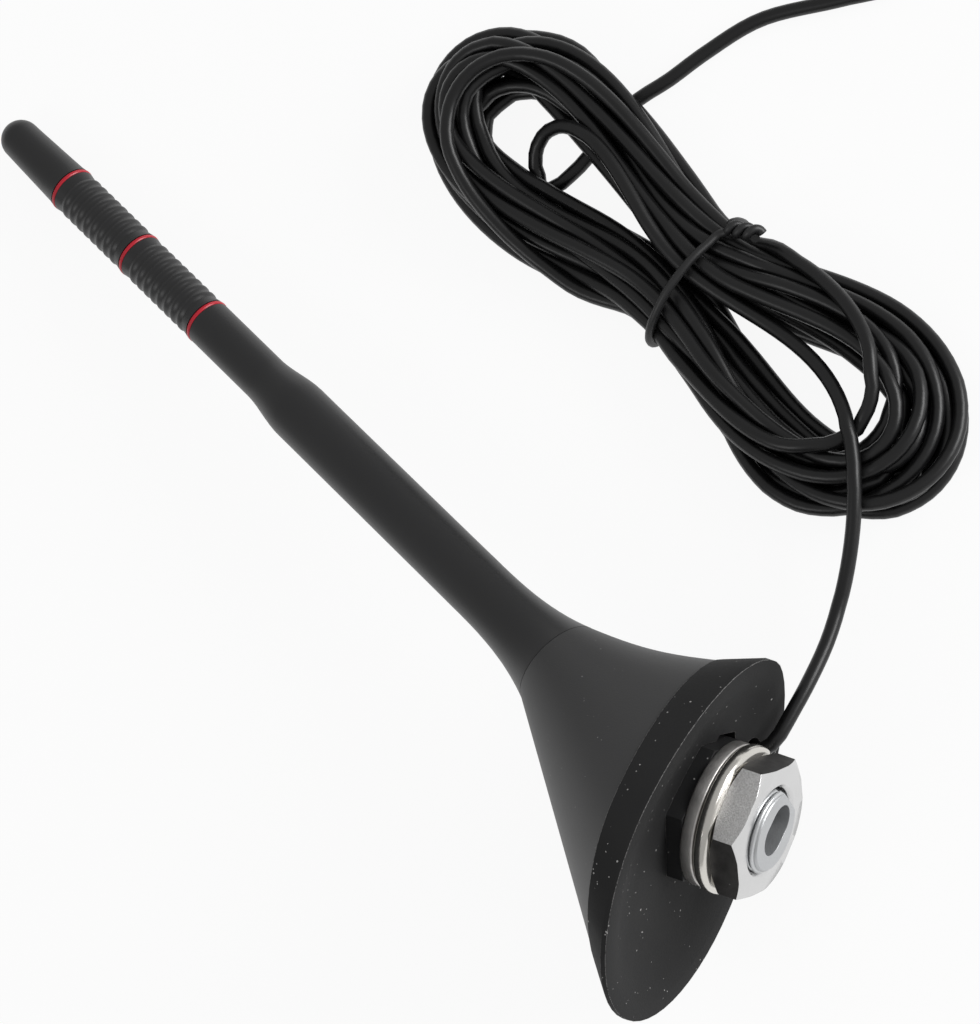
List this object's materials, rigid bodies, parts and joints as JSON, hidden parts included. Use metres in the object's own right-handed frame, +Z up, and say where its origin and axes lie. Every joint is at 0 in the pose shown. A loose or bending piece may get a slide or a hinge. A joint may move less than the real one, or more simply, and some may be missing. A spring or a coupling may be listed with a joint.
{
  "type": "roof antenna",
  "caption": "Car roof antenna: ribbed whip mast leaning from an oblique cone on a rubber pad, with a hollow threaded stud, nut, washers and a tied coaxial lead with its plug.",
  "frame": {"origin": "on the floor under the middle of the antenna's own box (without the free lead), with the antenna lying on its side as the picture shows it", "axes": "+X along the mast towards its tip, +Z up from the floor, +Y away from the coiled lead"},
  "size_m": [0.2281, 0.1908, 0.0553],
  "materials": {
    "rubber": "matte EPDM rubber with fine dust specks",
    "block": "moulded black nylon",
    "zinc": "dull grey zinc die casting",
    "cone": "soft-touch matte black moulding",
    "screws": "zinc-plated steel",
    "grommet": "black rubber",
    "lead": "satin black PVC",
    "clamp": "plated spring steel strip",
    "brass": "turned brass",
    "bush": "natural plastic insulating bush",
    "lug": "tinned brass",
    "copper": "bare copper core",
    "sleeve": "satin black moulded sleeve",
    "red": "red plastic ring",
    "rod": "glass-fibre rod",
    "winding": "enamelled copper wire",
    "washer": "dull brushed steel",
    "spring": "bright nickel plate",
    "nut": "nickel-plated, one flat grainy",
    "tie": "black plastic-coated wire",
    "barrel": "nickel-plated plug barrel",
    "insulator": "white plastic"
  },
  "bodies": {
    "base": {"gasket": "rubber", "locating_block": "block", "base_casting": "zinc", "housing": "cone", "plate_screws": "screws", "grommet": "grommet", "lead_entry": "lead", "cable_clamp": "clamp", "clamp_screw": "screws", "mast_socket": "brass", "socket_bush": "bush", "contact_lug": "lug", "feed_wire": "copper", "lead_run": "lead", "lead_hank": "lead", "lead_tail": "lead", "twist_tie": "tie", "plug_boot": "grommet", "plug_barrel": "barrel", "plug_insulator": "insulator", "plug_pin": "barrel"},
    "washers": {"flat_washer": "washer", "spring_washer": "spring"},
    "nut": {"nut": "nut"},
    "ferrule": {"mast_ferrule": "brass"},
    "mast": {"mast_sleeve": "sleeve", "ring_lower": "red", "ring_middle": "red", "ring_upper": "red", "whip_rod": "rod", "whip_winding": "winding"}
  },
  "joints": [
    {"name": "nut_travel", "type": "slide", "parent": "base", "child": "washers", "axis": [-0.9228, -0.3854, -0.0037], "range_m": [0, 0.004]},
    {"name": "nut_turn", "type": "hinge", "parent": "washers", "child": "nut", "pos_m": [-0.09798, -0.00525, 0.02479], "axis": [-0.9228, -0.3854, -0.0037], "range_deg": [0, 1445]},
    {"name": "mast_travel", "type": "slide", "parent": "base", "child": "ferrule", "axis": [0.995, 0, -0.1002], "range_m": [0, 0.0056]},
    {"name": "mast_turn", "type": "hinge", "parent": "ferrule", "child": "mast", "pos_m": [-0.05523, -0.00472, 0.02062], "axis": [0.995, 0, -0.1002], "range_deg": [0, 2530]}
  ],
  "couplings": [
    {"joint": "nut_turn", "follows": "nut_travel", "rad_per_m": 6283.2},
    {"joint": "mast_turn", "follows": "mast_travel", "rad_per_m": 7854}
  ]
}
